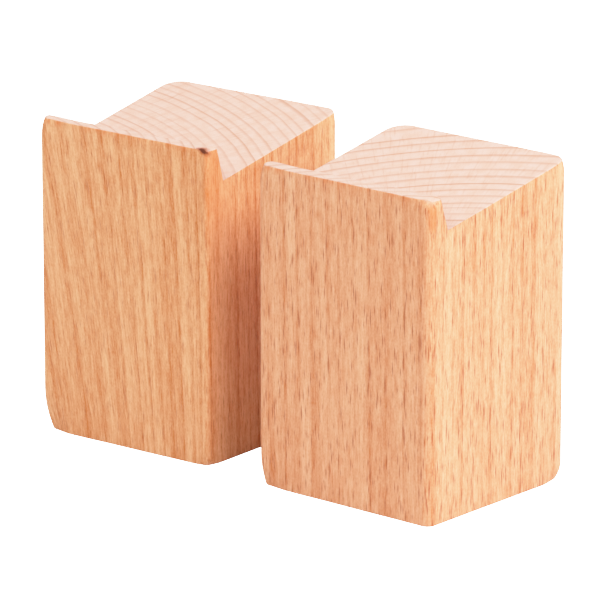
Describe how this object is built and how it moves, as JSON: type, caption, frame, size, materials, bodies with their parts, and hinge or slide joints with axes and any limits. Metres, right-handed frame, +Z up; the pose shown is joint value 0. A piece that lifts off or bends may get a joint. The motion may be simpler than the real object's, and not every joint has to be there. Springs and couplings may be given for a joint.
{
  "type": "book ends",
  "caption": "Solid beech block book ends with rounded upright edges, a thin front lip and a sloping top that also props up a tablet or an open book.",
  "frame": {"origin": "bottom centre of the pair's bounding box, on the surface that the blocks stand on", "axes": "+X along the row from the left block to the right one, +Y from the lips to the backs, +Z up"},
  "size_m": [0.154, 0.0706, 0.0974],
  "materials": {
    "beech_left": "fine-sanded beech with a thin satin oil, pale pinkish end grain on the top",
    "beech_right": "fine-sanded beech with a thin satin oil and many short dark ray flecks"
  },
  "bodies": {
    "left_bookend": {"left_bookend": "beech_left"},
    "right_bookend": {"right_bookend": "beech_right"}
  },
  "joints": [
    {"name": "spread", "type": "slide", "parent": "left_bookend", "child": "right_bookend", "axis": [1, 0, 0], "range_m": [-0.02, 0.3]}
  ]
}
